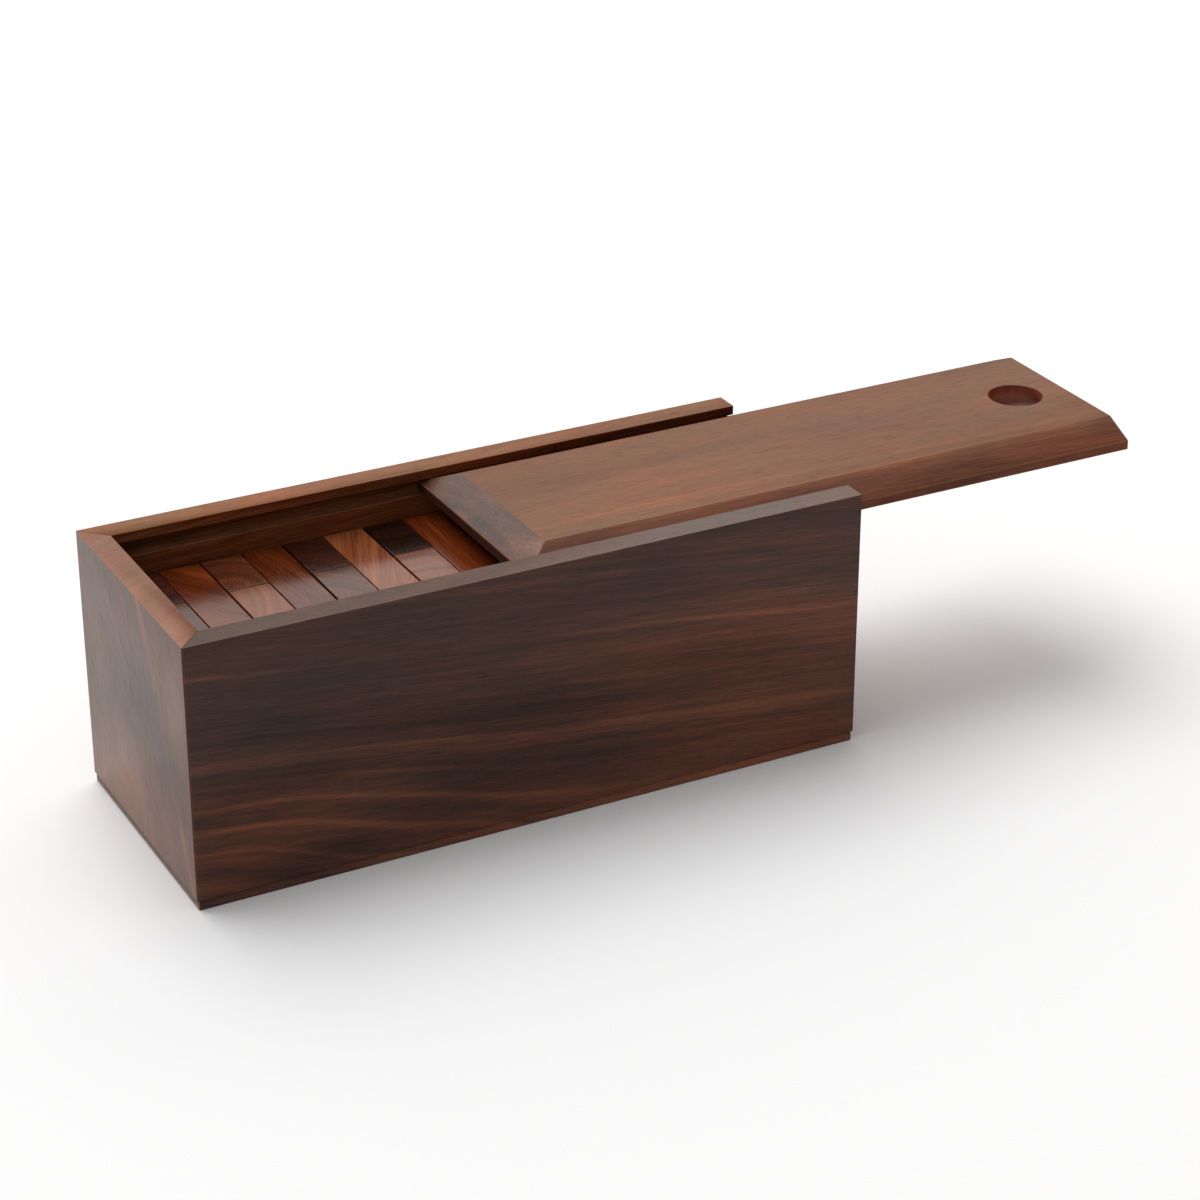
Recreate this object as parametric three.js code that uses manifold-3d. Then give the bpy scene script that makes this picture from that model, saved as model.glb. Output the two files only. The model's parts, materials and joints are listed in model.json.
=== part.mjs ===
// A hardwood case with a sliding raised-panel lid, packed with a set of tower-building blocks.
// Millimetres, +Z up. The case is long in X and its lid pulls out towards +X.
// The origin is the centre of the case's underside.
import * as THREE from 'three';
import { mergeVertices } from 'three/addons/utils/BufferGeometryUtils.js';
import Module from 'manifold-3d';

// Blocks. The set lies on its side, so its layers stand one behind the other along X.
const blockLength = 74.5;
const blockThickness = 14.3;
const blockChamfer = 0.4;
const blocksPerLayer = 3;
const layerCount = 15;
const blockGap = 0.35; // between the blocks of one layer
const layerGap = 0.3; // between the two layers of a pair
const pairGap = 0.7; // between one pair of layers and the next

// Room around the blocks.
const startGap = 0.3; // left end wall to the first layer
const endGap = 4.2; // last layer to the right end wall
const sideGap = 1.75; // blocks to each side wall
const headroom = 6.7; // tops of the blocks to the lid's ledge

// Case.
const wallThickness = 9;
const baseThickness = 3.5;
const baseSideSetBack = 0.15; // base board's long edges behind the side walls' faces
const baseEndSetBack = 0.6; // its ends behind the end walls' faces
const glueGap = 0.3; // pieces that are glued or that rest on each other

// Lid.
const lidThickness = 8.7;
const lidEdgeThickness = 3.4; // tongue at the foot of the bevel
const lidBevelRun = 11.5;
const grooveDepth = 4; // along the two side walls
const endGrooveDepth = 2.5; // across the left end wall
const lidEdgeSlack = 0.5; // tongue's edge to the groove's floor
const lidFaceSlack = 0.3; // lid to the ledge below it and the lip above it
const lidOpening = 114.3; // how far the lid is drawn out
const fingerDiameter = 19.5;
const fingerDepth = 7;
const fingerInset = 19.5; // recess's centre to the lid's right end
const fingerSegments = 48;

// Sizes that follow from those.
const blockWidth = (blockLength - (blocksPerLayer - 1) * blockGap) / blocksPerLayer;
const layerStart = (layer) => {
  const pairsBefore = Math.floor(layer / 2);
  const secondOfPair = layer % 2;
  const pairPitch = 2 * blockThickness + layerGap + pairGap;
  return pairsBefore * pairPitch + secondOfPair * (blockThickness + layerGap);
};
const stackLength = layerStart(layerCount - 1) + blockThickness;
const caseLength = 2 * wallThickness + startGap + stackLength + endGap;
const caseWidth = 2 * wallThickness + 2 * sideGap + blockLength;
const floorZ = baseThickness + glueGap; // underside of the walls and of the blocks
const ledgeZ = floorZ + blockLength + headroom;
const lidZ = ledgeZ + lidFaceSlack;
const caseHeight = lidZ + lidThickness; // the lid's top is flush with the rims
const bevelSlope = (lidThickness - lidEdgeThickness) / lidBevelRun;
const tongueReach = grooveDepth - lidEdgeSlack;
const endTongueReach = endGrooveDepth - lidEdgeSlack;
const lipZ = lidZ + lidEdgeThickness + bevelSlope * tongueReach + lidFaceSlack;
const lidWidth = caseWidth - 2 * wallThickness + 2 * tongueReach;
const lidLength = caseLength - wallThickness + endTongueReach;
const cutMargin = 1; // how far a cutter runs past the face it opens

const wasm = await Module();
wasm.setup();

// Extrudes an outline along one axis. The outline is in the two axes that follow it: YZ, ZX or XY.
function extrudeAlong(axis, outline, length) {
  const points = outline.map(([u, v]) => new THREE.Vector2(u, v));
  const geometry = new THREE.ExtrudeGeometry(new THREE.Shape(points), {
    depth: length,
    bevelEnabled: false,
  });
  const x = new THREE.Vector3(1, 0, 0);
  const y = new THREE.Vector3(0, 1, 0);
  const z = new THREE.Vector3(0, 0, 1);
  const bases = { x: [y, z, x], y: [z, x, y], z: [x, y, z] };
  return geometry.applyMatrix4(new THREE.Matrix4().makeBasis(...bases[axis]));
}

// A box between two corners.
function boxBetween(low, high) {
  const lowest = new THREE.Vector3(...low);
  const highest = new THREE.Vector3(...high);
  const size = highest.clone().sub(lowest);
  const centre = lowest.clone().add(highest).multiplyScalar(0.5);
  return new THREE.BoxGeometry(size.x, size.y, size.z).translate(centre.x, centre.y, centre.z);
}

function toSolid(geometry) {
  const bare = geometry.clone();
  bare.deleteAttribute('normal');
  bare.deleteAttribute('uv');
  const merged = mergeVertices(bare);
  return new wasm.Manifold(new wasm.Mesh({
    numProp: 3,
    vertProperties: new Float32Array(merged.attributes.position.array),
    triVerts: new Uint32Array(merged.index.array),
  }));
}

function cut(geometry, cutters) {
  let solid = toSolid(geometry);
  for (const cutter of cutters) {
    solid = solid.subtract(toSolid(cutter));
  }
  const { vertProperties, triVerts } = solid.getMesh();
  const result = new THREE.BufferGeometry();
  result.setAttribute('position', new THREE.BufferAttribute(vertProperties, 3));
  result.setIndex(new THREE.BufferAttribute(triVerts, 1));
  result.computeVertexNormals();
  return result;
}

function wood(color, roughness) {
  return new THREE.MeshStandardMaterial({ color, roughness, metalness: 0 });
}

function named(name, geometry, material) {
  const mesh = new THREE.Mesh(geometry, material);
  mesh.name = name;
  return mesh;
}

// A board whose ends are cut at 45 degrees where they meet another, with the glue line between them.
const mitreSetBack = glueGap / Math.SQRT2;
const wallHeight = caseHeight - floorZ;

// The side wall is drawn at the front. Its left end is mitred, its right end square.
function sideWallGeometry() {
  const outline = [
    [mitreSetBack, 0],
    [caseLength, 0],
    [caseLength, wallThickness],
    [wallThickness + mitreSetBack, wallThickness],
  ];
  const board = extrudeAlong('z', outline, wallHeight).translate(0, 0, floorZ);
  const groove = boxBetween(
    [-cutMargin, wallThickness - grooveDepth, ledgeZ],
    [caseLength + cutMargin, wallThickness + cutMargin, lipZ],
  );
  return cut(board, [groove]);
}

// The back wall is the front one turned over end for end, so its mitre also ends up on the left.
function backWallGeometry() {
  const mirrored = sideWallGeometry().scale(1, -1, 1).translate(0, caseWidth, 0);
  const triangles = mirrored.index.array;
  for (let i = 0; i < triangles.length; i += 3) {
    [triangles[i], triangles[i + 1]] = [triangles[i + 1], triangles[i]];
  }
  mirrored.computeVertexNormals();
  return mirrored;
}

function leftEndWallGeometry() {
  const outline = [
    [0, mitreSetBack],
    [wallThickness, wallThickness + mitreSetBack],
    [wallThickness, caseWidth - wallThickness - mitreSetBack],
    [0, caseWidth - mitreSetBack],
  ];
  const board = extrudeAlong('z', outline, wallHeight).translate(0, 0, floorZ);
  const groove = boxBetween(
    [wallThickness - endGrooveDepth, 0, ledgeZ],
    [wallThickness + cutMargin, caseWidth, lipZ],
  );
  return cut(board, [groove]);
}

// The right end wall stands between the side walls and stops at the ledge, so the lid passes over it.
function rightEndWallGeometry() {
  return boxBetween(
    [caseLength - wallThickness, wallThickness + glueGap, floorZ],
    [caseLength, caseWidth - wallThickness - glueGap, ledgeZ],
  );
}

function baseBoardGeometry() {
  return boxBetween(
    [baseEndSetBack, baseSideSetBack, 0],
    [caseLength - baseEndSetBack, caseWidth - baseSideSetBack, baseThickness],
  );
}

// The lid, with its left end at x = 0, its long edges bevelled, and its underside at z = 0.
function lidGeometry() {
  const section = [
    [0, 0],
    [lidWidth, 0],
    [lidWidth, lidEdgeThickness],
    [lidWidth - lidBevelRun, lidThickness],
    [lidBevelRun, lidThickness],
    [0, lidEdgeThickness],
  ];
  const panel = extrudeAlong('x', section, lidLength);
  const bevelTopX = lidBevelRun + cutMargin;
  const bevelTopZ = lidEdgeThickness + bevelSlope * bevelTopX;
  const endBevel = extrudeAlong('y', [
    [lidEdgeThickness - bevelSlope * cutMargin, -cutMargin],
    [bevelTopZ, -cutMargin],
    [bevelTopZ, bevelTopX],
  ], lidWidth + 2 * cutMargin).translate(0, -cutMargin, 0);
  const recessHeight = fingerDepth + cutMargin;
  const fingerRecess = new THREE.CylinderGeometry(
    fingerDiameter / 2,
    fingerDiameter / 2,
    recessHeight,
    fingerSegments,
  );
  fingerRecess.rotateX(Math.PI / 2);
  fingerRecess.translate(
    lidLength - fingerInset,
    lidWidth / 2,
    lidThickness - fingerDepth + recessHeight / 2,
  );
  return cut(panel, [endBevel, fingerRecess]);
}

// One block, long in Z, wide in Y and thick in X, centred on its own origin and chamfered all round.
function blockGeometry() {
  const halfX = blockThickness / 2 - blockChamfer;
  const halfY = blockWidth / 2 - blockChamfer;
  const outline = [
    [-halfX - blockChamfer, -halfY],
    [-halfX, -halfY - blockChamfer],
    [halfX, -halfY - blockChamfer],
    [halfX + blockChamfer, -halfY],
    [halfX + blockChamfer, halfY],
    [halfX, halfY + blockChamfer],
    [-halfX, halfY + blockChamfer],
    [-halfX - blockChamfer, halfY],
  ];
  const points = outline.map(([u, v]) => new THREE.Vector2(u, v));
  const geometry = new THREE.ExtrudeGeometry(new THREE.Shape(points), {
    depth: blockLength - 2 * blockChamfer,
    bevelThickness: blockChamfer,
    bevelSize: blockChamfer,
    bevelOffset: -blockChamfer,
    bevelSegments: 1,
  });
  return geometry.translate(0, 0, blockChamfer - blockLength / 2);
}

const caseWood = wood(0x4a2f27, 0.35);
const endWood = wood(0x5c4037, 0.35);
const baseWood = wood(0x4d2e22, 0.45);
const lidWood = wood(0x855e4a, 0.4);
const blockWoods = {
  dark: wood(0x32180f, 0.25),
  brown: wood(0x5c3020, 0.25),
  red: wood(0x7d3a22, 0.25),
  tan: wood(0x9c5f42, 0.25),
};
// The blocks are cut from mixed boards. Each row is a layer, from the front to the back of an odd
// layer and from the bottom to the top of an even one.
const layerTones = [
  ['red', 'dark', 'dark'],
  ['tan', 'brown', 'red'],
  ['brown', 'tan', 'brown'],
  ['dark', 'tan', 'red'],
  ['red', 'brown', 'dark'],
  ['brown', 'red', 'tan'],
  ['tan', 'tan', 'dark'],
  ['dark', 'brown', 'red'],
  ['dark', 'red', 'brown'],
  ['tan', 'dark', 'brown'],
  ['red', 'tan', 'dark'],
  ['brown', 'brown', 'tan'],
  ['tan', 'red', 'red'],
  ['dark', 'brown', 'brown'],
  ['red', 'dark', 'tan'],
];

function makeCase() {
  const walls = new THREE.Group();
  walls.add(named('front_wall', sideWallGeometry(), caseWood));
  walls.add(named('back_wall', backWallGeometry(), caseWood));
  walls.add(named('left_end_wall', leftEndWallGeometry(), endWood));
  walls.add(named('right_end_wall', rightEndWallGeometry(), endWood));
  walls.add(named('base_board', baseBoardGeometry(), baseWood));
  return walls;
}

function makeLid() {
  const slide = new THREE.Group();
  slide.position.set(
    wallThickness - endTongueReach + lidOpening,
    wallThickness - tongueReach,
    lidZ,
  );
  slide.add(named('sliding_lid', lidGeometry(), lidWood));
  return slide;
}

// Odd layers stand upright, side by side from front to back. Even layers lie across, one on another.
function makeBlocks() {
  const stack = new THREE.Group();
  stack.position.set(wallThickness + startGap, wallThickness + sideGap, floorZ);
  const geometry = blockGeometry();
  const uprightPlaces = ['front', 'middle', 'back'];
  const acrossPlaces = ['bottom', 'middle', 'top'];
  for (let layer = 0; layer < layerCount; layer += 1) {
    const upright = layer % 2 === 0;
    const places = upright ? uprightPlaces : acrossPlaces;
    const layerName = String(layer + 1).padStart(2, '0');
    for (let slot = 0; slot < blocksPerLayer; slot += 1) {
      const tone = layerTones[layer % layerTones.length][slot % layerTones[0].length];
      const block = named(`block_${layerName}_${places[slot]}`, geometry, blockWoods[tone]);
      const along = blockLength / 2;
      const sideways = slot * (blockWidth + blockGap) + blockWidth / 2;
      const x = layerStart(layer) + blockThickness / 2;
      if (upright) {
        block.position.set(x, sideways, along);
      } else {
        block.position.set(x, along, sideways);
        block.rotation.x = Math.PI / 2;
      }
      stack.add(block);
    }
  }
  return stack;
}

const group = new THREE.Group();
group.position.set(-caseLength / 2, -caseWidth / 2, 0);
group.add(makeCase(), makeLid(), makeBlocks());
group.updateMatrixWorld(true);

export default group;
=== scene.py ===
import json
import random
from math import cos, radians, sin, sqrt

import bmesh
import bpy
from mathutils import Matrix, Vector


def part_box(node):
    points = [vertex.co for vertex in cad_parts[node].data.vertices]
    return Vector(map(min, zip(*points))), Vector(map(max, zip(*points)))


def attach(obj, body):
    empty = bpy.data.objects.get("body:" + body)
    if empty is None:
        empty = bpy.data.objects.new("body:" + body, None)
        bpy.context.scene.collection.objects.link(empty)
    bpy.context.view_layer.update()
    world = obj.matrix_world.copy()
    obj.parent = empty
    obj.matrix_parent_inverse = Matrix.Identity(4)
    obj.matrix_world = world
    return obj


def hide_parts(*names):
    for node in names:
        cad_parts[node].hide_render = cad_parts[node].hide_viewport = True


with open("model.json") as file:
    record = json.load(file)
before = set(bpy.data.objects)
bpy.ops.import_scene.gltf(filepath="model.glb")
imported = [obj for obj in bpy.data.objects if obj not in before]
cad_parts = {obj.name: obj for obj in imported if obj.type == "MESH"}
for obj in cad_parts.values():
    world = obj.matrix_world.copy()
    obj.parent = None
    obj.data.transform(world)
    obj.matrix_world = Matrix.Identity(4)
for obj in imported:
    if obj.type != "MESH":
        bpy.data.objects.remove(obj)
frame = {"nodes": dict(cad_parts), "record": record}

scene = bpy.context.scene
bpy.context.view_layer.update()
mm = 0.001
woodSlots = {part["node"]: part["material_slot"] for part in frame["record"]["subparts"]}


# Node helpers. A value that is a socket is linked, anything else is set.

def put(tree, kind, values=None, **options):
    node = tree.nodes.new(kind)
    for option, value in options.items():
        setattr(node, option, value)
    for socket, value in (values or {}).items():
        if isinstance(value, bpy.types.NodeSocket):
            tree.links.new(value, node.inputs[socket])
        else:
            node.inputs[socket].default_value = value
    return node


def calc(tree, operation, *values):
    return put(tree, "ShaderNodeMath", dict(enumerate(values)), operation=operation).outputs[0]


def vec(tree, operation, *values):
    node = put(tree, "ShaderNodeVectorMath", dict(enumerate(values)), operation=operation)
    return node.outputs["Value" if operation == "LENGTH" else "Vector"]


def joined(tree, x, y, z):
    return put(tree, "ShaderNodeCombineXYZ", {0: x, 1: y, 2: z}).outputs[0]


def noise(tree, place, detail=2.0, roughness=0.5, colour=False, scale=1.0):
    node = put(tree, "ShaderNodeTexNoise", {
        "Vector": place, "Scale": scale, "Detail": detail, "Roughness": roughness,
    })
    return node.outputs["Color" if colour else "Fac"]


def spread(tree, value, low, high, toLow=0.0, toHigh=1.0, smooth=False):
    node = put(tree, "ShaderNodeMapRange", {0: value, 1: low, 2: high, 3: toLow, 4: toHigh})
    node.interpolation_type = "SMOOTHSTEP" if smooth else "LINEAR"
    return node.outputs[0]


def mixColours(tree, amount, first, second, blend="MIX"):
    node = put(tree, "ShaderNodeMix", {0: amount, 6: first, 7: second}, data_type="RGBA", blend_type=blend)
    return node.outputs[2]


# Wood. A board is a slice of a trunk: its figure is the rings round a pith, drawn out along the grain.
# Places are millimetres in the part's frame, turns are degrees, colours are linear.

blockPolish = {
    "specular": 0.46, "roughness": 0.16, "shine": (1.0, 0.88, 0.80), "relief": 0.15, "glossChange": 0.05,
}

rosewoods = {
    "case": {
        "ramp": [
            (0.12, (0.015, 0.0082, 0.0062)),
            (0.32, (0.032, 0.0160, 0.0118)),
            (0.50, (0.058, 0.0255, 0.0172)),
            (0.66, (0.103, 0.0385, 0.0228)),
            (0.90, (0.198, 0.0680, 0.0340)),
        ],
        "specular": 0.18, "roughness": 0.38,
    },
    "caseRim": {
        "ramp": [
            (0.20, (0.052, 0.0260, 0.0165)),
            (0.50, (0.097, 0.0470, 0.0280)),
            (0.80, (0.160, 0.0760, 0.0420)),
        ],
        "specular": 0.42, "roughness": 0.34,
    },
    "caseEdge": {
        "ramp": [
            (0.20, (0.060, 0.0240, 0.0150)),
            (0.60, (0.140, 0.0520, 0.0290)),
            (0.90, (0.260, 0.0950, 0.0480)),
        ],
        "specular": 0.15, "roughness": 0.4,
    },
    "back": {
        "ramp": [
            (0.20, (0.036, 0.0088, 0.0031)),
            (0.42, (0.092, 0.0240, 0.0080)),
            (0.60, (0.160, 0.0440, 0.0145)),
            (0.85, (0.300, 0.1000, 0.0350)),
        ],
        "specular": 0.08, "roughness": 0.38,
    },
    # the groove's inside is darker than the wall round it: painted shade
    "groove": {
        "ramp": [
            (0.20, (0.034, 0.0095, 0.0030)),
            (0.55, (0.085, 0.0255, 0.0080)),
            (0.85, (0.170, 0.0560, 0.0190)),
        ],
        "specular": 0.04, "roughness": 0.55,
    },
    # the ledge at the foot of the groove is darker too: painted shade
    "ledge": {
        "ramp": [
            (0.20, (0.030, 0.0086, 0.0034)),
            (0.50, (0.090, 0.0260, 0.0100)),
            (0.85, (0.225, 0.0760, 0.0310)),
        ],
        "specular": 0.1, "roughness": 0.45,
    },
    # the back wall's rim top; on its eased edges this lighter wood is a painted highlight, along the ledge's
    # edge among them
    "backRim": {
        "ramp": [
            (0.20, (0.150, 0.0600, 0.0270)),
            (0.50, (0.260, 0.1080, 0.0480)),
            (0.85, (0.370, 0.1580, 0.0740)),
        ],
        "specular": 0.1, "roughness": 0.4,
    },
    "end": {
        "ramp": [
            (0.15, (0.064, 0.0300, 0.0200)),
            (0.42, (0.108, 0.0510, 0.0335)),
            (0.62, (0.168, 0.0820, 0.0545)),
            (0.90, (0.300, 0.1500, 0.1040)),
        ],
        "specular": 0.3, "roughness": 0.36, "relief": 0.12, "glossChange": 0.05,
    },
    "endRim": {
        "ramp": [
            (0.15, (0.180, 0.0790, 0.0450)),
            (0.50, (0.290, 0.1310, 0.0770)),
            (0.85, (0.410, 0.1900, 0.1160)),
        ],
        "specular": 0.2, "roughness": 0.4,
    },
    "base": {
        "ramp": [
            (0.20, (0.036, 0.0135, 0.0085)),
            (0.50, (0.080, 0.0270, 0.0150)),
            (0.85, (0.160, 0.0500, 0.0230)),
        ],
        "specular": 0.2, "roughness": 0.42,
    },
    # the base's left face is pale and greyish: painted reflection of the floor
    "baseEnd": {
        "ramp": [
            (0.20, (0.130, 0.0850, 0.0620)),
            (0.85, (0.250, 0.1700, 0.1300)),
        ],
        "specular": 0.5, "roughness": 0.4,
    },
    "lid": {
        "ramp": [
            (0.20, (0.112, 0.0400, 0.0175)),
            (0.40, (0.166, 0.0650, 0.0280)),
            (0.60, (0.214, 0.0880, 0.0380)),
            (0.85, (0.286, 0.1160, 0.0500)),
        ],
        "specular": 0.16, "roughness": 0.4,
    },
    # the lid's side bevels are darker than its top: painted shade
    "lidSide": {
        "ramp": [
            (0.18, (0.042, 0.0120, 0.0065)),
            (0.36, (0.092, 0.0275, 0.0135)),
            (0.54, (0.152, 0.0490, 0.0225)),
            (0.72, (0.212, 0.0730, 0.0320)),
            (0.90, (0.300, 0.1200, 0.0500)),
        ],
        "specular": 0.1, "roughness": 0.42,
    },
    # the lid's eased edges are lighter and oranger than its top: painted highlight along the ridge
    "lidEdge": {
        "ramp": [
            (0.20, (0.130, 0.0450, 0.0220)),
            (0.60, (0.220, 0.0800, 0.0380)),
            (0.90, (0.340, 0.1250, 0.0580)),
        ],
        "specular": 0.15, "roughness": 0.4,
    },
    "lidTip": {
        "ramp": [
            (0.20, (0.024, 0.0095, 0.0055)),
            (0.85, (0.085, 0.0320, 0.0170)),
        ],
        "specular": 0.12, "roughness": 0.5,
    },
    "lidEnd": {
        "ramp": [
            (0.15, (0.026, 0.0120, 0.0080)),
            (0.40, (0.068, 0.0310, 0.0190)),
            (0.60, (0.118, 0.0520, 0.0300)),
            (0.85, (0.220, 0.0940, 0.0500)),
        ],
        "specular": 0.34, "roughness": 0.34,
    },
    "lidRecess": {
        "ramp": [
            (0.20, (0.090, 0.0200, 0.0105)),
            (0.50, (0.215, 0.0570, 0.0290)),
            (0.85, (0.380, 0.1150, 0.0540)),
        ],
        "specular": 0.3, "roughness": 0.36,
    },
    "blockDark": {
        "ramp": [
            (0.25, (0.006, 0.0022, 0.0018)),
            (0.50, (0.016, 0.0048, 0.0030)),
            (0.72, (0.040, 0.0100, 0.0045)),
            (0.90, (0.085, 0.0200, 0.0070)),
        ],
        **blockPolish,
    },
    "blockBrown": {
        "ramp": [
            (0.22, (0.024, 0.0062, 0.0028)),
            (0.45, (0.085, 0.0215, 0.0090)),
            (0.66, (0.160, 0.0430, 0.0180)),
            (0.90, (0.260, 0.0800, 0.0340)),
        ],
        **blockPolish,
    },
    "blockRed": {
        "ramp": [
            (0.22, (0.038, 0.0055, 0.0015)),
            (0.46, (0.095, 0.0165, 0.0032)),
            (0.66, (0.165, 0.0330, 0.0062)),
            (0.90, (0.280, 0.0720, 0.0150)),
        ],
        **blockPolish,
    },
    "blockTan": {
        "ramp": [
            (0.25, (0.110, 0.0230, 0.0070)),
            (0.48, (0.225, 0.0600, 0.0200)),
            (0.68, (0.330, 0.1000, 0.0380)),
            (0.90, (0.470, 0.1650, 0.0720)),
        ],
        **blockPolish,
    },
}

# What all the rosewood has in common. Rates are per millimetre, along the grain and across it.
grain = {
    "wander": (0.006, 0.022, 0.022),  # how fast the rings sway
    "wanderDetail": 2.5,
    "alongRing": 0.0035,  # how fast a ring changes colour along the grain
    "lineDetail": 4.0,
    "lineRoughness": 0.62,
    "zoneWidth": 3.7,  # rings to one broad zone of colour
    "zoneShare": 0.4,
    "level": 0.3,  # where the wood lies in its ramp before anything is added
    "threads": (0.05, 1.5, 1.5),
    "threadDetail": 4.0,
    "threadRoughness": 0.6,
    "haze": (0.012, 0.035, 0.035),
    "hazeDetail": 2.5,
    "streakReach": 1.6,  # widths to where a streak has faded out
    "streakBreaks": (0.38, 0.60),  # haze between which a streak comes and goes
    "streakShows": (0.35, 1.15),
    "drift": (0.02, 0.08, 0.08),  # where the wood turns redder or greyer
    "driftDetail": 3.0,
    "driftTurns": (0.35, 0.65),
    "redTint": (1.08, 0.96, 0.93, 1),
    "greyTint": (0.93, 1.01, 1.02, 1),
    "pores": (0.13, 2.6, 2.6),
    "poreOpens": (0.55, 0.70),
    "poreTint": (0.35, 0.3, 0.3, 1),
    "poreShows": 0.3,  # unless the board says otherwise
    "relief": 0.35,  # unless the finish says otherwise
    "reliefDepth": 0.00004,
    "poreRelief": -0.7,
    "threadRelief": 0.6,
    "glossChange": 0.16,  # from thread to thread, unless the finish says otherwise
    "hazeGloss": 0.12,
    "poreGloss": 0.15,
    "seedStep": (97.0, 31.0, 57.0),
}


def swellLift(figure, point):
    total = 0.0
    for centre, radii, lift in figure.get("swells", []):
        reach = sqrt(sum(((p - c) / r) ** 2 for p, c, r in zip(point, centre, radii)))
        reach = min(reach, 1.0)
        total += lift * (1 - reach * reach * (3 - 2 * reach))
    return total


def ringAt(figure, point):
    # the ring that runs through a point, as the material finds it before the sway
    aboutX, aboutY, aboutZ = (
        Matrix.Rotation(radians(angle), 3, axis) for angle, axis in zip(figure["turn"], "XYZ")
    )
    turn = aboutZ @ aboutY @ aboutX
    local = turn.transposed() @ (Vector(point) - Vector(figure["pith"]))
    across = Vector((0, local.y, local.z)).length
    return across + figure["taper"] * local.x + swellLift(figure, point)


def ringPattern(tree, figure, placeMm, inTrunk, seeded):
    # rings round the pith, swaying a little along the trunk and lifted by the swells
    wanderAt = vec(tree, "MULTIPLY", seeded, grain["wander"])
    wander = noise(tree, wanderAt, detail=grain["wanderDetail"], colour=True)
    wander = vec(tree, "SUBTRACT", wander, (0.5, 0.5, 0.5))
    wander = vec(tree, "MULTIPLY", wander, (0.0, 2 * figure["sway"], 2 * figure["sway"]))
    swayed = vec(tree, "ADD", inTrunk, wander)
    across = vec(tree, "LENGTH", vec(tree, "MULTIPLY", swayed, (0, 1, 1)))
    along = put(tree, "ShaderNodeSeparateXYZ", {0: inTrunk}).outputs[0]
    ring = calc(tree, "MULTIPLY_ADD", along, figure["taper"], across)
    for centre, radii, lift in figure.get("swells", []):
        reach = vec(tree, "DIVIDE", vec(tree, "SUBTRACT", placeMm, centre), radii)
        bulge = spread(tree, vec(tree, "LENGTH", reach), 0.0, 1.0, lift, 0.0, smooth=True)
        ring = calc(tree, "ADD", ring, bulge)
    return along, ring


def addCentred(tree, value, share, pattern):
    return calc(tree, "MULTIPLY_ADD", calc(tree, "SUBTRACT", pattern, 0.5), share, value)


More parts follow.
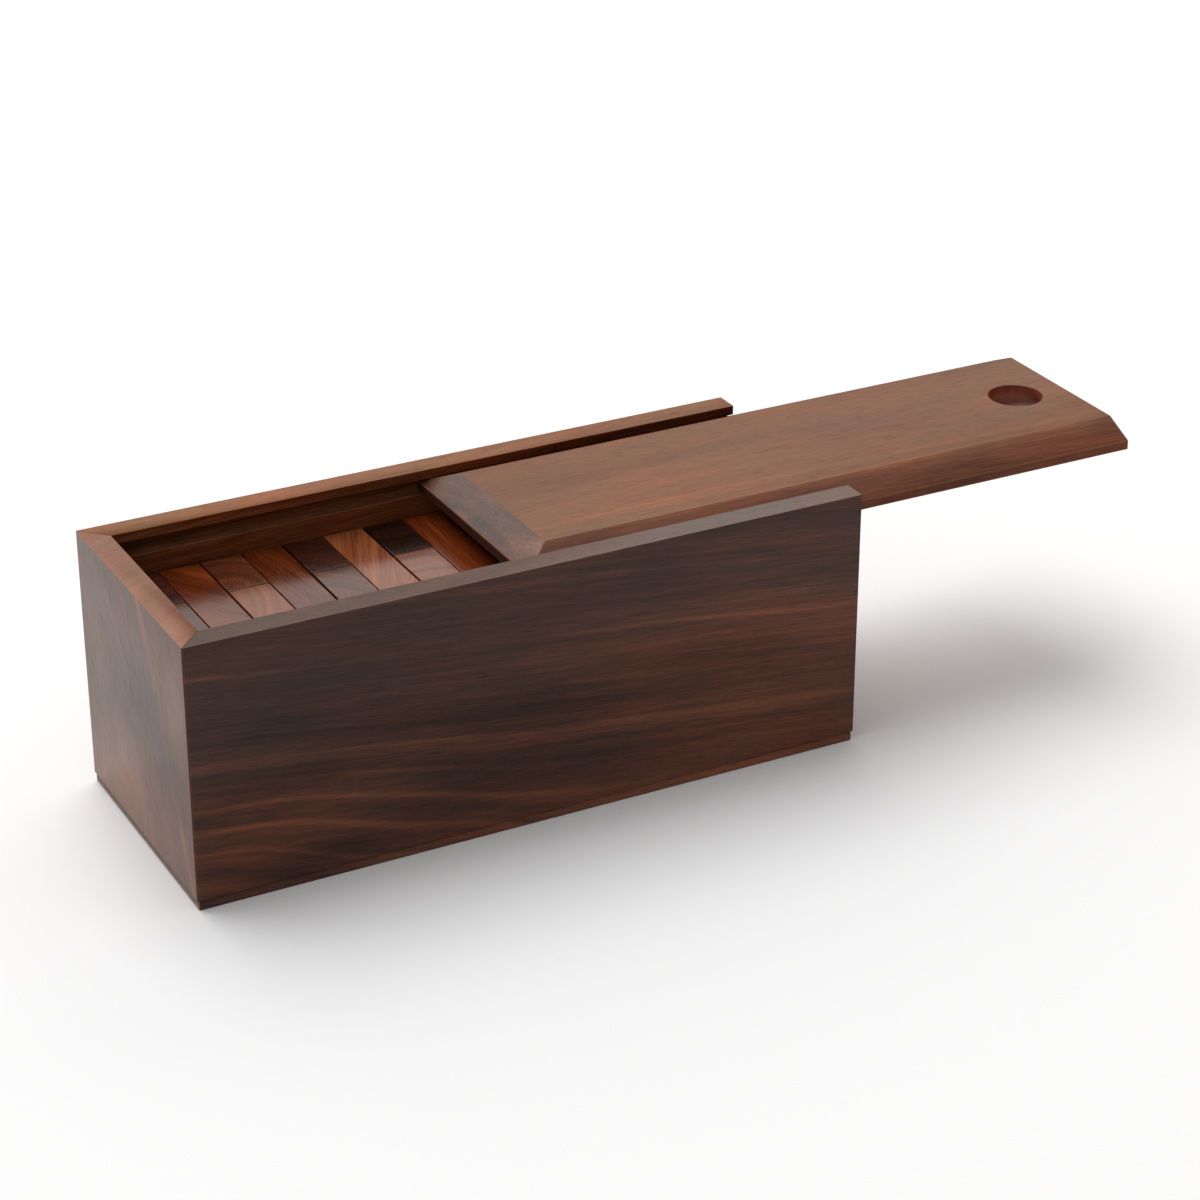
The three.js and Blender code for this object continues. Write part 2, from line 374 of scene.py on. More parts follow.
def woodMaterial(name, figure, wood, attribute=None):
    material = bpy.data.materials.new(name)
    material.use_nodes = True
    tree = material.node_tree
    tree.nodes.clear()
    finish = rosewoods[wood]
    seed = figure["seed"]

    if attribute:
        place = put(tree, "ShaderNodeAttribute", attribute_name=attribute).outputs["Vector"]
    else:
        place = put(tree, "ShaderNodeTexCoord").outputs["Object"]
    placeMm = vec(tree, "SCALE", place)
    placeMm.node.inputs["Scale"].default_value = 1 / mm
    inTrunk = put(tree, "ShaderNodeMapping", {
        "Vector": placeMm,
        "Location": figure["pith"],
        "Rotation": [radians(angle) for angle in figure["turn"]],
    }, vector_type="TEXTURE").outputs[0]
    seeded = vec(tree, "ADD", inTrunk, [seed * step for step in grain["seedStep"]])
    along, ring = ringPattern(tree, figure, placeMm, inTrunk, seeded)

    # colour goes from ring to ring, in broad zones and in narrow lines
    alongRing = calc(tree, "MULTIPLY", along, grain["alongRing"])
    lineAt = joined(tree, calc(tree, "DIVIDE", ring, figure["ringWidth"]), alongRing, seed)
    zoneWidth = figure["ringWidth"] * grain["zoneWidth"]
    zoneAt = joined(tree, calc(tree, "DIVIDE", ring, zoneWidth), alongRing, seed + 9)
    lines = noise(tree, lineAt, detail=grain["lineDetail"], roughness=grain["lineRoughness"])
    zones = noise(tree, zoneAt, detail=1.0)
    contrast = figure["contrast"]
    value = calc(tree, "MULTIPLY_ADD", zones, grain["zoneShare"], grain["level"] - contrast / 2)
    value = calc(tree, "MULTIPLY_ADD", lines, contrast, value)

    threadAt = vec(tree, "MULTIPLY", seeded, grain["threads"])
    threads = noise(tree, threadAt, detail=grain["threadDetail"], roughness=grain["threadRoughness"])
    value = addCentred(tree, value, figure["fibres"], threads)
    hazeAt = vec(tree, "MULTIPLY", seeded, grain["haze"])
    haze = noise(tree, hazeAt, detail=grain["hazeDetail"], scale=1 / figure.get("blotchSize", 1.0))
    value = addCentred(tree, value, figure["blotches"], haze)

    for point, width, strength in figure.get("streaks", []):
        gap = calc(tree, "ABSOLUTE", calc(tree, "SUBTRACT", ring, ringAt(figure, point)))
        core = spread(tree, gap, 0.0, width * grain["streakReach"], strength, 0.0, smooth=True)
        broken = spread(tree, haze, *grain["streakBreaks"], *grain["streakShows"])
        value = calc(tree, "MULTIPLY_ADD", core, broken, value)
    # patches that lighten or darken the wood round a place; many of them are painted light and painted shade
    for centre, radii, strength in figure.get("patchesAndPaintedLight", []):
        reach = vec(tree, "LENGTH", vec(tree, "DIVIDE", vec(tree, "SUBTRACT", placeMm, centre), radii))
        value = calc(tree, "ADD", value, spread(tree, reach, 0.0, 1.0, strength, 0.0, smooth=True))

    ramp = put(tree, "ShaderNodeValToRGB", {0: value})
    stops = finish["ramp"]
    while len(ramp.color_ramp.elements) < len(stops):
        ramp.color_ramp.elements.new(0.5)
    for element, (position, colour) in zip(ramp.color_ramp.elements, stops):
        element.position = position
        element.color = (*colour, 1)

    drift = noise(tree, vec(tree, "MULTIPLY", seeded, grain["drift"]), detail=grain["driftDetail"])
    tint = mixColours(tree, spread(tree, drift, *grain["driftTurns"]), grain["greyTint"], grain["redTint"])
    warmed = mixColours(tree, 1.0, ramp.outputs[0], tint, "MULTIPLY")

    pores = noise(tree, vec(tree, "MULTIPLY", seeded, grain["pores"]), detail=1.0)
    poreDepth = spread(tree, pores, *grain["poreOpens"])
    poreShows = calc(tree, "MULTIPLY", poreDepth, figure.get("pores", grain["poreShows"]))
    colour = mixColours(tree, poreShows, warmed, grain["poreTint"], "MULTIPLY")
    if attribute:
        shade = put(tree, "ShaderNodeAttribute", attribute_name="shade").outputs["Fac"]
        colour = mixColours(tree, 1.0, colour, joined(tree, shade, shade, shade), "MULTIPLY")

    relief = calc(tree, "MULTIPLY", threads, grain["threadRelief"])
    relief = calc(tree, "MULTIPLY_ADD", poreDepth, grain["poreRelief"], relief)
    bump = put(tree, "ShaderNodeBump", {
        "Strength": finish.get("relief", grain["relief"]),
        "Distance": grain["reliefDepth"],
        "Height": relief,
    })
    gloss = addCentred(tree, finish["roughness"], finish.get("glossChange", grain["glossChange"]), threads)
    gloss = addCentred(tree, gloss, grain["hazeGloss"], haze)
    shader = put(tree, "ShaderNodeBsdfPrincipled", {
        "Base Color": colour,
        "Roughness": calc(tree, "MULTIPLY_ADD", poreDepth, grain["poreGloss"], gloss),
        "Specular IOR Level": finish["specular"],
        "Specular Tint": (*finish.get("shine", (1, 1, 1)), 1),
        "Normal": bump.outputs[0],
    })
    put(tree, "ShaderNodeOutputMaterial", {"Surface": shader.outputs[0]})
    return material


# Boards. Each says how it was sawn: a swell lifts the rings round a place, and a streak is a ring of its own
# that runs through a point. A patch lightens or darkens the wood round a place; on the front wall, the left
# end and the lid most patches are painted light and painted shade. "faces" gives the faces that look one
# way a wood of their own, and "sawn" gives a wood another figure.

frontWall = {
    "piece": "frontWallBoard", "node": "front_wall", "body": "case",
    "grooved": True, "mitres": ["front"], "ease": 0.35,
    "wood": "case", "edgeWood": "caseEdge",
    "faces": [((0, 0, 1), 0.9, "caseRim"), ((-0.5, -0.866, 0), 0.88, "caseEdge")],
    "figure": {
        "pith": (0, 20, -60), "turn": (0, 6.5, 0), "taper": 0.0,
        "ringWidth": 4.5, "sway": 4.0, "contrast": 0.36, "fibres": 0.56, "blotches": 0.36,
        "swells": [((-118, -48, -36), (150, 400, 112), -37), ((-70, -48, 4), (52, 400, 26), 6)],
        # most of these patches are painted light and painted shade: the wall is lighter towards its foot and
        # its right end and darker at its upper left
        "patchesAndPaintedLight": [
            ((-76, -48, 9), (34, 30, 8), -0.16), ((-114, -48, 4), (30, 30, 11), 0.12),
            ((-70, -48, 28), (60, 30, 20), 0.10), ((30, -48, 0), (150, 30, 24), 0.30),
            ((105, -48, 34), (120, 30, 70), 0.19), ((-100, -48, 75), (110, 30, 40), -0.05),
        ],
        "streaks": [
            ((-122, -48, 52.2), 1.3, 0.20), ((-122, -48, 43.7), 1.0, 0.12),
            ((-122, -48, 36.0), 1.1, 0.16), ((-122, -48, 27.8), 1.1, 0.15),
            ((-113, -48, 19.5), 1.0, 0.14), ((-122, -48, 66.0), 1.0, 0.08),
            ((-13, -48, 70.0), 0.8, 0.12), ((118, -48, 16.5), 1.5, 0.17),
            ((118, -48, 74.0), 1.2, 0.12), ((-122, -48, 49.0), 1.8, -0.10),
            ((-122, -48, 33.0), 1.6, -0.10), ((-122, -48, 59.0), 2.2, -0.06),
        ],
        "seed": 3.0,
    },
}

backWall = {
    "piece": "backWallBoard", "node": "back_wall", "body": "case",
    "grooved": True, "mitres": ["back"], "ease": 0.35,
    # its eased edges take the lighter rim wood: painted highlight along the ledge's edge
    "wood": "back", "edgeWood": "backRim",
    "faces": [
        ((0, 0, 1), 0.9, "backRim"), ((0, 1, 0), 0.99, "case"), ((1, 0, 0), 0.9, "case"),
        ((-0.5, 0.866, 0), 0.88, "caseEdge"),
    ],
    "figure": {
        "pith": (0, -30, -70), "turn": (0, -3, 0), "taper": 0.03,
        "ringWidth": 6.0, "sway": 6.0, "contrast": 0.9, "fibres": 0.8, "blotches": 0.45,
        "swells": [((60, 48, 20), (90, 60, 50), -14)],
        "streaks": [((0, 48, 40), 1.4, 0.2), ((0, 48, 62), 1.6, 0.2)],
        "seed": 11.0,
    },
}

leftEnd = {
    "piece": "leftEndBoard", "node": "left_end_wall", "body": "case",
    "grooved": True, "mitres": ["front", "back"], "ease": 0.35,
    "wood": "end", "edgeWood": "endRim",
    "faces": [
        ((0, 0, 1), 0.9, "endRim"), ((1, 0, 0), 0.9, "back"),
        ((-0.866, -0.5, 0), 0.88, "caseEdge"), ((-0.866, 0.5, 0), 0.88, "caseEdge"),
    ],
    "figure": {
        "pith": (-90, 130, 0), "turn": (0, 68, -90), "taper": 0.02,
        "ringWidth": 18.0, "sway": 16.0, "contrast": 0.10, "fibres": 0.06, "blotches": 0.65,
        "blotchSize": 0.4, "pores": 0.02,
        "swells": [((-122, 0, 50), (60, 40, 60), -8)],
        # the broad patch at the foot and the dark patch at the top are painted light and painted shade: the
        # wall is lighter towards its foot and darker at its top
        "patchesAndPaintedLight": [
            ((-122, -38, 66), (30, 12, 30), 0.16), ((-122, -10, 56), (30, 34, 30), -0.20),
            ((-122, 10, 0), (30, 80, 56), 0.44), ((-122, 34, 50), (30, 16, 26), 0.08),
            ((-122, 20, 92), (30, 40, 22), -0.12),
        ],
        "streaks": [((-122, -20, 80), 2.2, 0.16), ((-122, 12, 70), 2.0, 0.10)],
        "seed": 5.0,
    },
    "sawn": {
        "endRim": {
            "pith": (-160, 60, 60), "turn": (0, 4, 24), "taper": 0.05,
            "ringWidth": 4.0, "sway": 5.0, "contrast": 0.55, "fibres": 0.45, "blotches": 0.5, "pores": 0.1,
            "patchesAndPaintedLight": [((-118, 8, 94), (14, 22, 20), -0.04)],
            "seed": 6.0,
        },
    },
}

rightEnd = {
    "piece": "rightEndBoard", "node": "right_end_wall", "body": "case",
    "grooved": False, "mitres": [], "ease": 0.35,
    "wood": "end", "edgeWood": "caseEdge",
    "faces": [],
    "figure": {
        "pith": (100, 100, -20), "turn": (-3, 90, 0), "taper": 0.02,
        "ringWidth": 7.0, "sway": 6.0, "contrast": 0.7, "fibres": 0.6, "blotches": 0.35,
        "seed": 8.0,
    },
}

caseBase = {
    "piece": "caseBaseBoard", "node": "base_board", "body": "case",
    "grooved": False, "mitres": [], "ease": 0.3,
    "wood": "base", "edgeWood": "caseEdge",
    # its left face takes a pale greyish wood: painted reflection of the floor
    "faces": [((-1, 0, 0), 0.9, "baseEnd"), ((0, -1, 0), 0.9, "case"), ((0, 1, 0), 0.9, "case")],
    "figure": {
        "pith": (0, 10, -50), "turn": (0, 1.5, 2), "taper": 0.02,
        "ringWidth": 7.0, "sway": 6.0, "contrast": 0.6, "fibres": 0.6, "blotches": 0.35,
        "seed": 14.0,
    },
    "sawn": {"case": frontWall["figure"]},
}

slidingLid = {
    "piece": "slidingLidPanel", "node": "sliding_lid", "body": "lid",
    "grooved": False, "mitres": [], "ease": 0.3,
    # its eased edges and side bevels take woods that carry painted highlight and painted shade
    "wood": "lid", "edgeWood": "lidEdge",
    "faces": [
        ((-1, 0, 0), 0.95, "lidTip"), ((-1, 0, 0), 0.3, "lidEnd"), ((1, 0, 0), 0.9, "lidEnd"),
        ((0, -1, 0), 0.3, "lidSide"), ((0, 1, 0), 0.3, "lidSide"),
    ],
    "figure": {
        "pith": (120, 30, 20), "turn": (0, 1.0, -2.0), "taper": 0.0,
        "ringWidth": 3.6, "sway": 4.0, "contrast": 0.5, "fibres": 0.58, "blotches": 0.48,
        # painted highlight along the near ridge (the first two patches); painted shade on the finger recess's
        # right wall and painted light on its left wall (the last two)
        "patchesAndPaintedLight": [
            ((218, -31, 94), (34, 7, 5), 0.15), ((130, -31, 94), (110, 3, 3), 0.08),
            ((226, 0, 89.4), (7, 12, 4.4), -0.34), ((207.5, 3, 90.6), (6, 9, 4.2), 0.70),
        ],
        "streaks": [((200, -30, 90), 0.6, 0.12)],
        "seed": 21.0,
    },
    "sawn": {
        "lidEnd": {
            "pith": (-20, 60, 30), "turn": (0, 35, 75), "taper": 0.0,
            "ringWidth": 4.0, "sway": 5.0, "contrast": 0.5, "fibres": 0.7, "blotches": 1.1,
            "blotchSize": 0.35,
            "patchesAndPaintedLight": [((0, -34, 90), (20, 16, 10), 0.12)],
            "seed": 23.0,
        },
    },
}

# How the boards meet and how their edges are eased, in millimetres and degrees.
joinery = {
    "mitreGap": 0.16,  # glue line between two mitred boards
    "seamGap": 0.04,  # glue line between the walls and the base
    "cornerRound": 0.55,  # radius of the case's upright outer edges
    "cornerSteps": 4,
    "sharp": 25,  # an edge that turns less than this isn't eased
    "easeSteps": 3,
    "flat": 1,  # faces that turn less than this are one face
    "near": 0.01,  # places closer than this are one place
}


def tightenMitre(shape, corner, isEnd):
    # closes the mitre up to its glue line and rounds the outer edge, half of it on each board
    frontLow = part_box("front_wall")[0]
    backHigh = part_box("back_wall")[1]
    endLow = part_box("left_end_wall")[0]
    side = 1 if corner == "front" else -1
    outerY = frontLow.y if corner == "front" else backHigh.y
    setBack = frontLow.x - endLow.x
    alongCase, acrossCase = Vector((1, 0, 0)), Vector((0, side, 0))
    alongAxis, acrossAxis = (acrossCase, alongCase) if isEnd else (alongCase, acrossCase)
    origin = Vector((endLow.x, outerY, 0))
    near = joinery["near"] * mm
    halfGap = joinery["mitreGap"] * mm / sqrt(2)

    def readings(vertex):
        reach = vertex.co - origin
        return reach.dot(alongAxis), reach.dot(acrossAxis)

    for vertex in shape.verts:
        along, across = readings(vertex)
        if abs(along - across - setBack) < near:
            vertex.co -= alongAxis * (setBack - halfGap)
    radius = joinery["cornerRound"] * mm
    tip = radius * (1 - sqrt(0.5)) + halfGap
    steps = joinery["cornerSteps"]
    for step in range(steps + 1):
        place = origin + alongAxis * (tip + (radius - tip) * step / steps)
        parts = list(shape.verts) + list(shape.edges) + list(shape.faces)
        bmesh.ops.bisect_plane(shape, geom=parts, plane_co=place, plane_no=alongAxis, dist=1e-7)
    for vertex in shape.verts:
        along, across = readings(vertex)
        if across < near and along < radius - near:
            bend = min(max((radius - along) / radius, 0), sqrt(0.5))
            wantedAlong = max(along, tip)
            wantedAcross = radius * (1 - sqrt(max(1 - bend * bend, 0)))
            vertex.co += alongAxis * (wantedAlong - along) + acrossAxis * (wantedAcross - across)
    bmesh.ops.remove_doubles(shape, verts=shape.verts, dist=2e-6)
    bmesh.ops.dissolve_degenerate(shape, edges=shape.edges, dist=1e-7)


def recessFaces(shape):
    # the finger recess is the lid's only round hole, so its wall is narrow strips and its floor is low
    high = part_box("sliding_lid")[1]
    widestStrip = 20 * mm * mm
    for face in shape.faces:
        middle = face.calc_center_median()
        isWall = abs(face.normal.z) < 0.1 and len(face.verts) == 4 and face.calc_area() < widestStrip
        isFloor = face.normal.z > 0.99 and middle.z < high.z - 1 * mm
        if isWall or isFloor:
            yield face


def grooveFaces(shape, node):
    # a face square to an axis and well inside the board's outline belongs to the lid's groove
    low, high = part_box(node)
    for face in shape.faces:
        middle = face.calc_center_median()
        for axis in range(3):
            inside = low[axis] + 1 * mm < middle[axis] < high[axis] - 1 * mm
            if inside and abs(face.normal[axis]) > 0.9:
                yield face


def markEasedEdges(shape, hasMitres, seam):
    weight = shape.edges.layers.float.new("bevel_weight_edge")
    for edge in shape.edges:
        isSharp = len(edge.link_faces) == 2 and edge.is_convex
        if not isSharp or edge.calc_face_angle(0) < radians(joinery["sharp"]):
            continue
        normals = [face.normal for face in edge.link_faces]
        slanted = any(0.2 < abs(normal.x) < 0.9 and abs(normal.y) > 0.2 for normal in normals)
        onSeam = all(abs(vertex.co.z - seam) < 0.1 * mm for vertex in edge.verts)
        if not (slanted and hasMitres) and not onSeam:
            edge[weight] = 1.0


def paintFaces(shape, board):
    woods = [board["wood"], board["edgeWood"]]
    for face in shape.faces:
        face.smooth = True
        for direction, least, wood in board["faces"]:
            if face.normal.dot(Vector(direction)) > least:
                if wood not in woods:
                    woods.append(wood)
                face.material_index = woods.index(wood)
                break
    if board is slidingLid:
        woods.append("lidRecess")
        for face in recessFaces(shape):
            face.material_index = woods.index("lidRecess")
    elif board["grooved"]:
        # the groove's faces take the darker groove and ledge woods: painted shade
        woods += ["groove", "ledge"]
        for face in grooveFaces(shape, board["node"]):
            face.material_index = woods.index("ledge" if face.normal.z > 0.9 else "groove")
    return woods


def makeBoard(board):
    name = board["piece"]
    source = frame["nodes"][board["node"]].data
    mesh = bpy.data.meshes.new(name)
    mesh.from_pydata([v.co[:] for v in source.vertices], [], [p.vertices[:] for p in source.polygons])
    shape = bmesh.new()
    shape.from_mesh(mesh)
    bmesh.ops.remove_doubles(shape, verts=shape.verts, dist=1e-6)
    flat = radians(joinery["flat"])
    bmesh.ops.dissolve_limit(shape, angle_limit=flat, verts=shape.verts, edges=shape.edges)
    for corner in board["mitres"]:
        tightenMitre(shape, corner, board is leftEnd)
    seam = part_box("base_board")[1].z
    for vertex in shape.verts:
        if 0 < vertex.co.z - seam < 0.5 * mm:
            vertex.co.z = seam + joinery["seamGap"] * mm
    shape.normal_update()
    markEasedEdges(shape, bool(board["mitres"]), seam)
    woods = paintFaces(shape, board)
    shape.to_mesh(mesh)
    shape.free()
    piece = bpy.data.objects.new(name, mesh)
    scene.collection.objects.link(piece)
    for wood in woods:
        figure = board.get("sawn", {}).get(wood, board["figure"])
        mesh.materials.append(woodMaterial(name + wood[0].upper() + wood[1:], figure, wood))
    ease = piece.modifiers.new("easedEdges", "BEVEL")
    ease.limit_method = "WEIGHT"
    ease.width = board["ease"] * mm
    ease.segments = joinery["easeSteps"]
    ease.harden_normals = True
    ease.material = 1
    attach(piece, board["body"])
    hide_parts(board["node"])


for board in (frontWall, backWall, leftEnd, rightEnd, caseBase, slidingLid):
    makeBoard(board)
print("boards made")


# Blocks. Geometry Nodes put one rounded block on each point of a small mesh.

blockPlan = {
    "edgeRadius": 0.25,
    "looseness": 0.07,  # degrees that a block may lean in its place
    "rows": 6,  # points along each edge of a block
    "seed": 4,
}

# One trunk for each tone of block. The blocks' own places in it come with them, as "sawnAt".
blockTrunk = {
    "pith": (0, 0, 0), "turn": (0, 90, 0), "taper": 0.03,
    "contrast": 0.85, "fibres": 0.6, "blotches": 0.3,
}
blockTones = {
    "block_wood_dark": {
        "piece": "darkBlocks", "wood": "blockDark", "ringWidth": 3.4, "sway": 5.0, "seed": 31.0,
    },
    "block_wood_brown": {
        "piece": "brownBlocks", "wood": "blockBrown", "ringWidth": 2.6, "sway": 5.0, "seed": 33.0,
    },
    "block_wood_red": {
        "piece": "redBlocks", "wood": "blockRed", "ringWidth": 2.4, "sway": 4.0, "seed": 35.0,
    },
    "block_wood_tan": {
        "piece": "tanBlocks", "wood": "blockTan", "ringWidth": 2.2, "sway": 4.0, "seed": 37.0,
    },
}

# Where a block's own figure matters: slant turns its grain in degrees, shift is its place from the pith
# in millimetres, and shade is its lightness. What isn't given is drawn from the ranges, in their order.
blockFigures = {
    "block_01_middle": {"shade": 3.6},
    "block_01_back": {"shade": 2.4},
    "block_02_top": {"slant": (0, -27, 0), "shade": 0.95},
    "block_03_middle": {"shift": (58, 6), "slant": (35, 0, 0), "shade": 0.72},
    "block_03_back": {"shift": (9, 12), "shade": 0.9},
    "block_04_top": {"slant": (0, -5, 0), "shade": 0.68},
    "block_05_middle": {"shift": (40, 30), "shade": 0.8},
    "block_05_back": {"shift": (14, 20), "shade": 1.3},
    "block_06_top": {"slant": (0, 21, 0), "shade": 0.9},
    "block_07_middle": {"shift": (8, 46), "shade": 0.75},
    "block_07_back": {"shade": 0.72},
    "block_08_top": {"slant": (0, 4, 0), "shade": 1.1},
}
figureRanges = {
    "slantX": (-4, 4),
    "slantY": (-6, 6),
    "fromPithX": (-30, 30),
    "fromPithY": (14, 55),
    "alongTrunk": (-900, 900),
    "shade": (0.8, 1.15),
}


def ownVector(tree, name):
    node = put(tree, "GeometryNodeInputNamedAttribute", {"Name": name}, data_type="FLOAT_VECTOR")
    return node.outputs[0]


def storeVector(tree, geometry, name, value):
    stored = {"Geometry": geometry, "Name": name, "Value": value}
    node = put(tree, "GeometryNodeStoreNamedAttribute", stored, data_type="FLOAT_VECTOR", domain="POINT")
    return node.outputs[0]


def blockTree():
    tree = bpy.data.node_groups.new("roundedBlocks", "GeometryNodeTree")
    face = tree.interface
    face.new_socket("Geometry", in_out="INPUT", socket_type="NodeSocketGeometry")
    for label, kind in (
        ("Block Size", "NodeSocketVector"),
        ("Edge Radius", "NodeSocketFloat"),
        ("Looseness", "NodeSocketFloat"),
        ("Seed", "NodeSocketInt"),
        ("Wood", "NodeSocketMaterial"),
    ):
        face.new_socket(label, in_out="INPUT", socket_type=kind)
    face.new_socket("Geometry", in_out="OUTPUT", socket_type="NodeSocketGeometry")
    given = put(tree, "NodeGroupInput").outputs

    # a cube whose outer two rows of points are drawn to its edges and rounded there
    rows = blockPlan["rows"]
    innermost = 1 / (rows - 1)
    outward = 1 / (1 - innermost)
    cube = put(tree, "GeometryNodeMeshCube", {
        "Size": given["Block Size"], "Vertices X": rows, "Vertices Y": rows, "Vertices Z": rows,
    })
    place = put(tree, "GeometryNodeInputPosition").outputs[0]
    half = vec(tree, "MULTIPLY", given["Block Size"], (0.5, 0.5, 0.5))
    radius = given["Edge Radius"]
    radii = joined(tree, radius, radius, radius)
    core = vec(tree, "SUBTRACT", half, radii)
    share = vec(tree, "DIVIDE", place, half)
    rounding = vec(tree, "SUBTRACT", vec(tree, "ABSOLUTE", share), (innermost, innermost, innermost))
    rounding = vec(tree, "MULTIPLY", rounding, (outward, outward, outward))
    rounding = vec(tree, "MAXIMUM", rounding, (0.0, 0.0, 0.0))
    rounding = vec(tree, "NORMALIZE", vec(tree, "SNAP", rounding, (0.01, 0.01, 0.01)))
    reach = vec(tree, "ADD", core, vec(tree, "MULTIPLY", rounding, radii))
    shaped = put(tree, "GeometryNodeSetPosition", {
        "Geometry": cube.outputs["Mesh"],
        "Position": vec(tree, "MULTIPLY", vec(tree, "SIGN", share), reach),
    })
    normal = vec(tree, "ABSOLUTE", put(tree, "GeometryNodeInputNormal").outputs[0])
    parts = put(tree, "ShaderNodeSeparateXYZ", {0: normal}).outputs
    flattest = calc(tree, "MAXIMUM", calc(tree, "MAXIMUM", parts[0], parts[1]), parts[2])
    onEdge = put(tree, "FunctionNodeCompare", {
        0: flattest, 1: 0.999,
    }, data_type="FLOAT", operation="LESS_THAN")
    smoothed = put(tree, "GeometryNodeSetShadeSmooth", {
        "Geometry": shaped.outputs[0], "Selection": True, "Shade Smooth": onEdge.outputs[0],
    })
    kept = storeVector(tree, smoothed.outputs[0], "sawnAt", put(tree, "GeometryNodeInputPosition").outputs[0])

    # one on each point, turned as the point says and leaning a little
    leanMost = joined(tree, given["Looseness"], given["Looseness"], 0.0)
    lean = put(tree, "FunctionNodeRandomValue", {
        "Min": vec(tree, "MULTIPLY", leanMost, (-1, -1, -1)), "Max": leanMost, "Seed": given["Seed"],
    }, data_type="FLOAT_VECTOR").outputs[0]
    placed = put(tree, "GeometryNodeInstanceOnPoints", {
        "Points": given["Geometry"],
        "Instance": kept,
        "Rotation": vec(tree, "ADD", ownVector(tree, "turn"), lean),
    })
    real = put(tree, "GeometryNodeRealizeInstances", {"Geometry": placed.outputs[0]})

    # where in its trunk each block was sawn
    turned = put(tree, "ShaderNodeVectorRotate", {
        "Vector": ownVector(tree, "sawnAt"), "Rotation": ownVector(tree, "slant"),
    }, rotation_type="EULER_XYZ").outputs[0]
    shifted = vec(tree, "ADD", turned, ownVector(tree, "shift"))
    sawn = storeVector(tree, real.outputs[0], "sawnAt", shifted)
    painted = put(tree, "GeometryNodeSetMaterial", {"Geometry": sawn, "Material": given["Wood"]})
    put(tree, "NodeGroupOutput", {0: painted.outputs[0]})
    return tree


def addAttribute(mesh, name, kind, values):
    attribute = mesh.attributes.new(name, kind, "POINT")
    for item, value in zip(attribute.data, values):
        if kind == "FLOAT":
            item.value = value
        else:
            item.vector = value


def blockPoints(nodes, dice):
    # one point for each block, with its turn and its own figure
    centres, turns, slants, shifts, shades = [], [], [], [], []
    for node in nodes:
        low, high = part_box(node)
        across = (high.y - low.y) > (high.z - low.z)
        figure = blockFigures.get(node, {})
        centres.append((low + high) / 2)
        turns.append((radians(90), 0, 0) if across else (0, 0, 0))
        drawn = {key: dice.uniform(*limits) for key, limits in figureRanges.items()}
        slant = figure.get("slant", (drawn["slantX"], drawn["slantY"], 0))
        slants.append([radians(angle) for angle in slant])
        fromPith = figure.get("shift", (drawn["fromPithX"], drawn["fromPithY"]))
        shifts.append(Vector((*fromPith, drawn["alongTrunk"])) * mm)
        shades.append(figure.get("shade", drawn["shade"]))
    points = bpy.data.meshes.new("blockPoints")
    points.from_pydata(centres, [], [])
    addAttribute(points, "turn", "FLOAT_VECTOR", turns)
    addAttribute(points, "slant", "FLOAT_VECTOR", slants)
    addAttribute(points, "shift", "FLOAT_VECTOR", shifts)
    addAttribute(points, "shade", "FLOAT", shades)
    return points


def makeBlocks(tree, slotName, tone):
    nodes = sorted(node for node, slot in woodSlots.items() if slot == slotName)
    points = blockPoints(nodes, random.Random(tone["seed"]))
    low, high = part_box(nodes[0])
    thickness, *faceSizes = high - low
    trunk = {**blockTrunk, **tone}
    inputs = {
        "Block Size": (thickness, min(faceSizes), max(faceSizes)),
        "Edge Radius": blockPlan["edgeRadius"] * mm,
        "Looseness": radians(blockPlan["looseness"]),
        "Seed": blockPlan["seed"],
        "Wood": woodMaterial(tone["piece"] + "Wood", trunk, tone["wood"], attribute="sawnAt"),
    }
    stand = bpy.data.objects.new("blockStand", points)
    scene.collection.objects.link(stand)
    modifier = stand.modifiers.new("roundedBlocks", "NODES")
    modifier.node_group = tree
    for item in tree.interface.items_tree:
        if item.in_out == "INPUT" and item.name in inputs:
            modifier[item.identifier] = inputs[item.name]
    bpy.context.view_layer.update()
    evaluated = stand.evaluated_get(bpy.context.evaluated_depsgraph_get())
    mesh = bpy.data.meshes.new_from_object(evaluated)
    mesh.name = tone["piece"]
    stand.modifiers.remove(modifier)
    bpy.data.objects.remove(stand)
    bpy.data.meshes.remove(points)
    piece = bpy.data.objects.new(tone["piece"], mesh)
    scene.collection.objects.link(piece)
    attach(piece, "case")
    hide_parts(*nodes)


roundedBlocks = blockTree()
for slotName, tone in blockTones.items():
    makeBlocks(roundedBlocks, slotName, tone)
print("blocks made")


# Stage: a plain pale floor, a soft key from the back left, a pale panel behind.

stagePlan = {
    "floorRadius": 9.0,
    "floorSides": 60,
    "floorColour": (0.92, 0.92, 0.92),
    "air": (1.0, 1.0, 1.0),
    "airStrength": 0.46,
    "lightsAim": (0.04, 0, 0.05),
}

lights = {
    "key": {"from": (-0.45, 1.15, 3.5), "size": (2.9, 2.9), "power": 96.0, "colour": (1.0, 1.0, 1.0)},
    "backPanel": {"from": (1.1, 2.6, 1.9), "size": (4.4, 2.2), "power": 31.0, "colour": (1.0, 0.93, 0.88)},
}

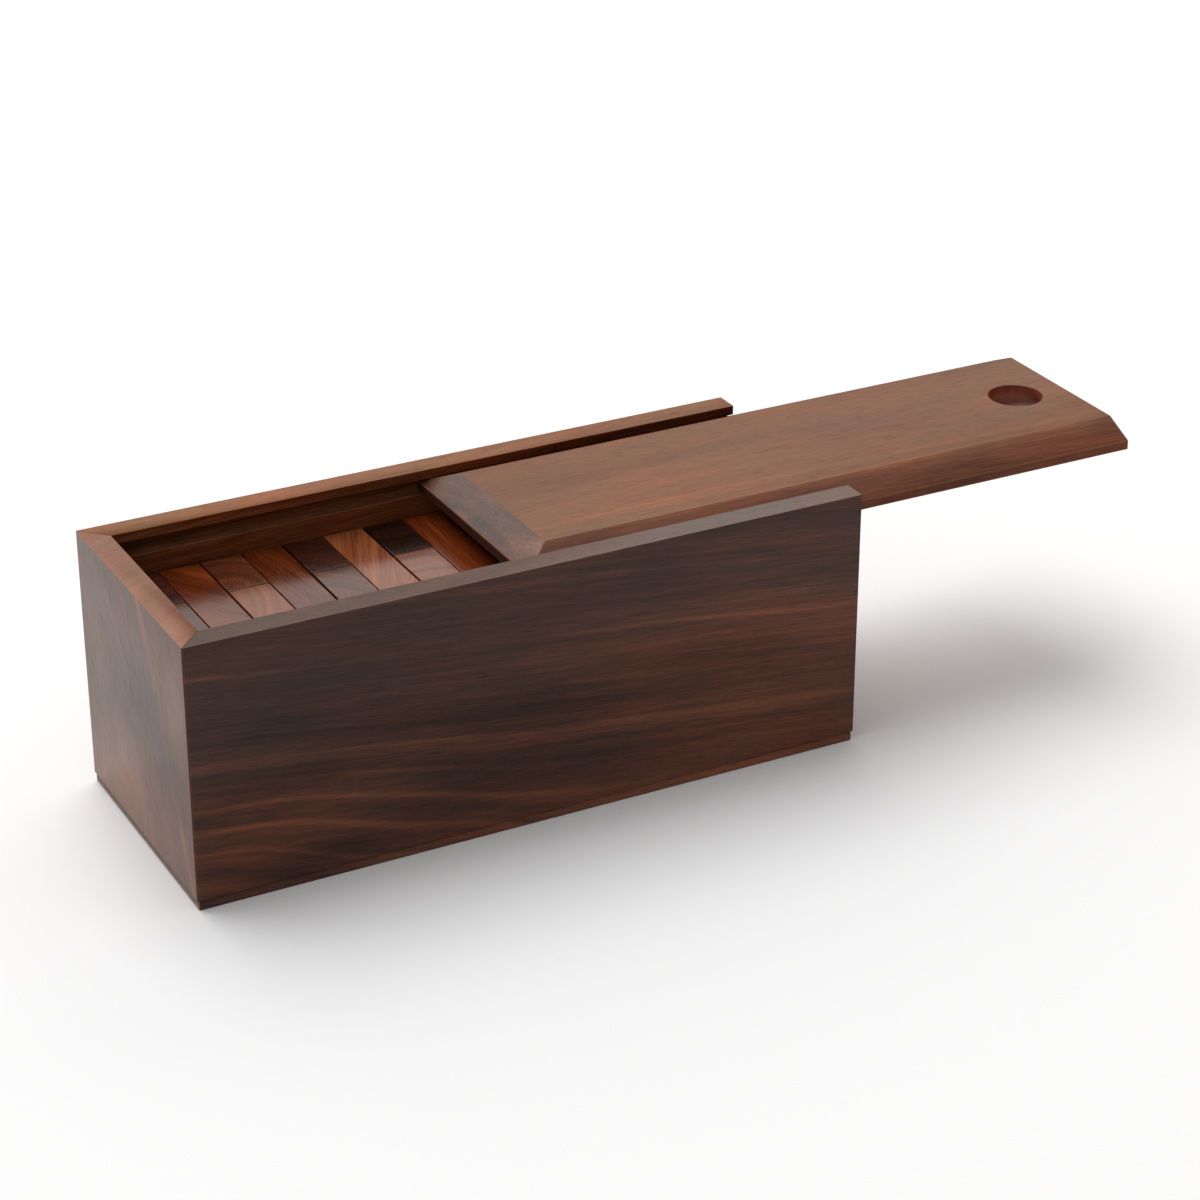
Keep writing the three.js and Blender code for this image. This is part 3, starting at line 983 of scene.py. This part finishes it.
cameraView = {
    "target": (0.0476, 0.0, 0.0506),
    "distance": 1.1148,
    "azimuth": -27.73,  # 0 looks along +Y, below 0 from the left end
    "elevation": 26.29,
    "lens": 97.02,
}


def makeFloor():
    mesh = bpy.data.meshes.new("floor")
    radius, sides = stagePlan["floorRadius"], stagePlan["floorSides"]
    angles = [radians(360 / sides * side) for side in range(sides)]
    rim = [(radius * cos(angle), radius * sin(angle), 0) for angle in angles]
    mesh.from_pydata(rim, [], [list(range(sides))])
    floor = bpy.data.objects.new("floor", mesh)
    scene.collection.objects.link(floor)
    material = bpy.data.materials.new("floorPaper")
    material.use_nodes = True
    shader = material.node_tree.nodes["Principled BSDF"]
    shader.inputs["Base Color"].default_value = (*stagePlan["floorColour"], 1)
    shader.inputs["Roughness"].default_value = 0.9
    shader.inputs["Specular IOR Level"].default_value = 0.0
    mesh.materials.append(material)


def makeLights():
    target = Vector(stagePlan["lightsAim"])
    for name, light in lights.items():
        data = bpy.data.lights.new(name, "AREA")
        data.shape = "RECTANGLE"
        data.size, data.size_y = light["size"]
        data.energy = light["power"]
        data.color = light["colour"]
        lamp = bpy.data.objects.new(name, data)
        lamp.location = light["from"]
        lamp.rotation_euler = (target - lamp.location).to_track_quat("-Z", "Y").to_euler()
        lamp.visible_camera = False
        scene.collection.objects.link(lamp)
    world = bpy.data.worlds.new("studio")
    world.use_nodes = True
    air = world.node_tree.nodes["Background"]
    air.inputs["Color"].default_value = (*stagePlan["air"], 1)
    air.inputs["Strength"].default_value = stagePlan["airStrength"]
    scene.world = world
    scene.view_settings.view_transform = "Standard"


def makeCamera():
    azimuth, elevation = radians(cameraView["azimuth"]), radians(cameraView["elevation"])
    back = Vector((sin(azimuth) * cos(elevation), -cos(azimuth) * cos(elevation), sin(elevation)))
    data = bpy.data.cameras.new("camera")
    data.lens = cameraView["lens"]
    camera = bpy.data.objects.new("camera", data)
    camera.location = Vector(cameraView["target"]) + back * cameraView["distance"]
    camera.rotation_euler = (-back).to_track_quat("-Z", "Y").to_euler()
    scene.collection.objects.link(camera)
    scene.camera = camera


makeFloor()
makeLights()
makeCamera()
print("stage set")
